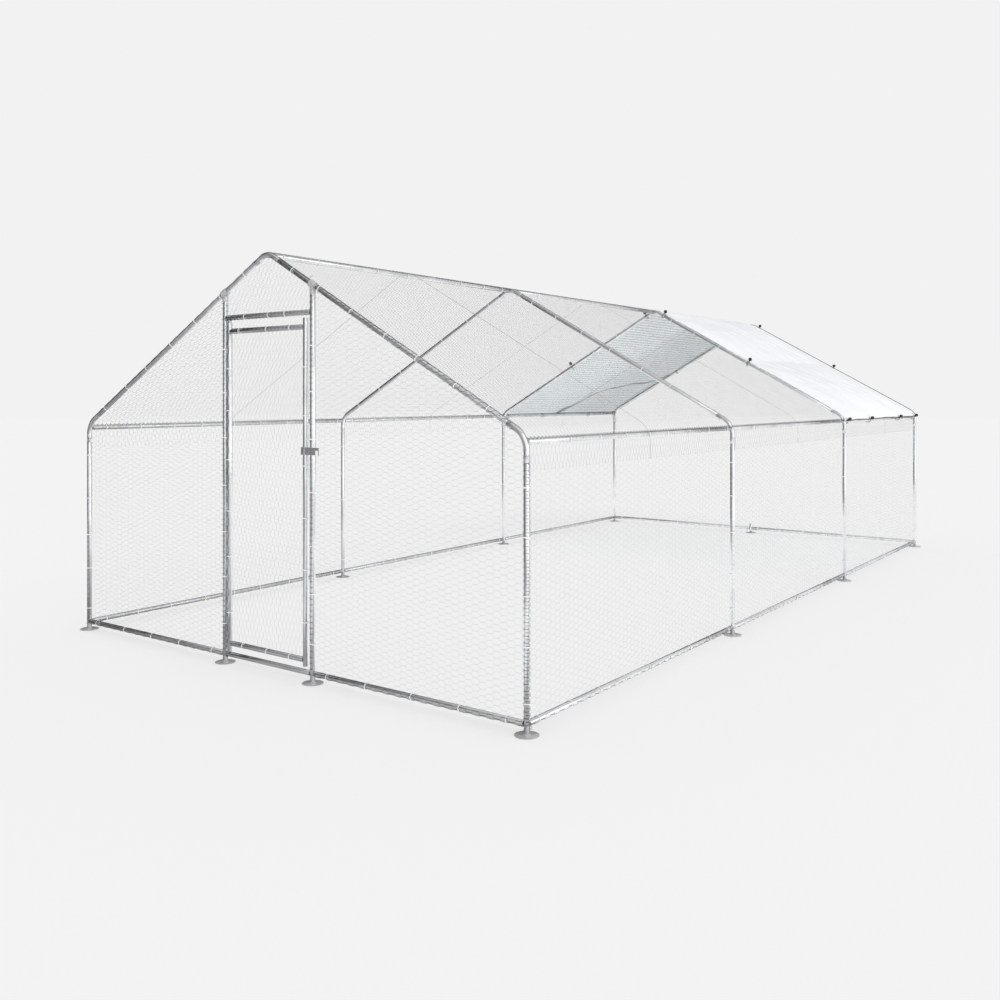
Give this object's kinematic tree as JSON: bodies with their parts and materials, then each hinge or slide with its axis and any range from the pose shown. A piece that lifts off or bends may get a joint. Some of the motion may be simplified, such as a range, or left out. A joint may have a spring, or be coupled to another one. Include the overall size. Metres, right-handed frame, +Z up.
{
  "type": "chicken run",
  "caption": "Walk-in poultry run: galvanised tube frame with a pitched roof, hexagonal wire netting, a netted hinged door with hasp and a cover sheet over the rear bay.",
  "frame": {"origin": "middle of the run's footprint on the ground, under the foot plates", "axes": "+Y along the length from the door end to the covered end, +Z up, +X to the right as seen from in front of the door"},
  "size_m": [3.1, 6.0998, 2.0045],
  "materials": {
    "galvanised_tube": "bright galvanised, satin",
    "plated_steel": "zinc plated, satin",
    "hasp_steel": "zinc plated, satin",
    "netting": "galvanised wire",
    "cover_sheet": "coated woven sheet, slightly glossy",
    "eyelet": "pressed, satin",
    "elastic_cord": "woven elastic cord",
    "tie_ball": "moulded, satin"
  },
  "bodies": {
    "run": {"post_front_left": "galvanised_tube", "post_front_right": "galvanised_tube", "post_second_left": "galvanised_tube", "post_second_right": "galvanised_tube", "post_third_left": "galvanised_tube", "post_third_right": "galvanised_tube", "post_rear_left": "galvanised_tube", "post_rear_right": "galvanised_tube", "eave_bends_front": "galvanised_tube", "eave_bends_second": "galvanised_tube", "eave_bends_third": "galvanised_tube", "eave_bends_rear": "galvanised_tube", "rafters_front": "galvanised_tube", "rafters_second": "galvanised_tube", "rafters_third": "galvanised_tube", "rafters_rear": "galvanised_tube", "ridge_bend_front": "galvanised_tube", "ridge_bend_second": "galvanised_tube", "ridge_bend_third": "galvanised_tube", "ridge_bend_rear": "galvanised_tube", "eave_purlins_left": "galvanised_tube", "eave_purlins_right": "galvanised_tube", "ridge_purlins": "galvanised_tube", "base_rails_left": "galvanised_tube", "base_rails_right": "galvanised_tube", "front_rail_left": "galvanised_tube", "front_rail_right": "galvanised_tube", "threshold": "galvanised_tube", "rear_rails": "galvanised_tube", "rear_mid_leg": "galvanised_tube", "feet": "plated_steel", "door_post_left": "galvanised_tube", "door_post_right": "galvanised_tube", "door_post_clamps": "plated_steel", "lintel": "galvanised_tube", "joint_screws": "plated_steel", "staple": "hasp_steel", "net_front_left": "netting", "net_front_right": "netting", "net_front_gable": "netting", "net_rear": "netting", "net_left_wall": "netting", "net_right_wall": "netting", "net_roof_left": "netting", "net_roof_right": "netting", "roof_cover": "cover_sheet", "cover_eyelets": "eyelet", "cover_loops": "elastic_cord", "cover_balls": "tie_ball"},
    "door": {"door_hinge_stile": "galvanised_tube", "door_lock_stile": "galvanised_tube", "door_top_rail": "galvanised_tube", "door_bottom_rail": "galvanised_tube", "door_upper_pivot": "plated_steel", "door_lower_pivot": "plated_steel", "door_net": "netting", "hasp_plate": "hasp_steel", "hasp_pin": "hasp_steel"},
    "hasp": {"hasp_strap": "hasp_steel"}
  },
  "joints": [
    {"name": "door_swing", "type": "hinge", "parent": "run", "child": "door", "pos_m": [-0.277, -3, 0], "axis": [0, 0, -1], "range_deg": [0, 110]},
    {"name": "hasp_swing", "type": "hinge", "parent": "door", "child": "hasp", "pos_m": [0.274, -3.02, 1.064], "axis": [0, 0, -1], "range_deg": [0, 165]}
  ]
}
